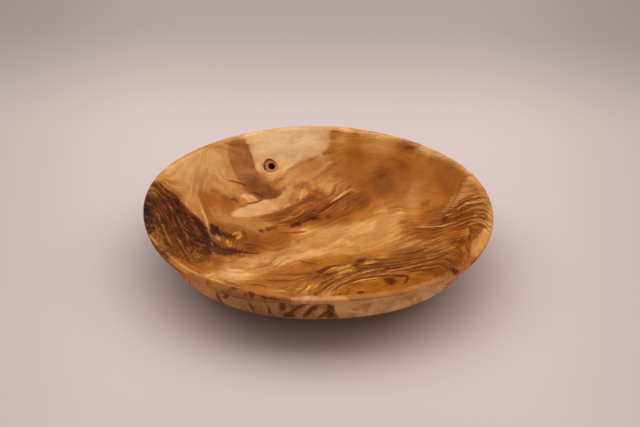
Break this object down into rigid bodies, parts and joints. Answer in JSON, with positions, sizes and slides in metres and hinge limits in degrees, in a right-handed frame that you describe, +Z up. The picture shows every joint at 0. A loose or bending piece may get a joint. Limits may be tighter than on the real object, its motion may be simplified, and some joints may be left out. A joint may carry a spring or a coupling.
{
  "type": "turned wooden plate",
  "caption": "Shallow round plate turned from figured wood, with a steep rolled rim, a low foot ring and one encased knot in its inside wall.",
  "frame": {"origin": "on the table under the turning axis, at the middle of the foot ring", "axes": "+Z up along the turning axis, +X to the right and -Y to the front of the plate as pictured"},
  "size_m": [0.2482, 0.2482, 0.0475],
  "materials": {
    "figured_wood": "oiled satin, honey and tan with dark brown figure",
    "knot_wood": "oiled dark knot wood with a dark bark ring"
  },
  "bodies": {
    "root": {"plate": "figured_wood", "knot": "knot_wood"}
  },
  "joints": []
}
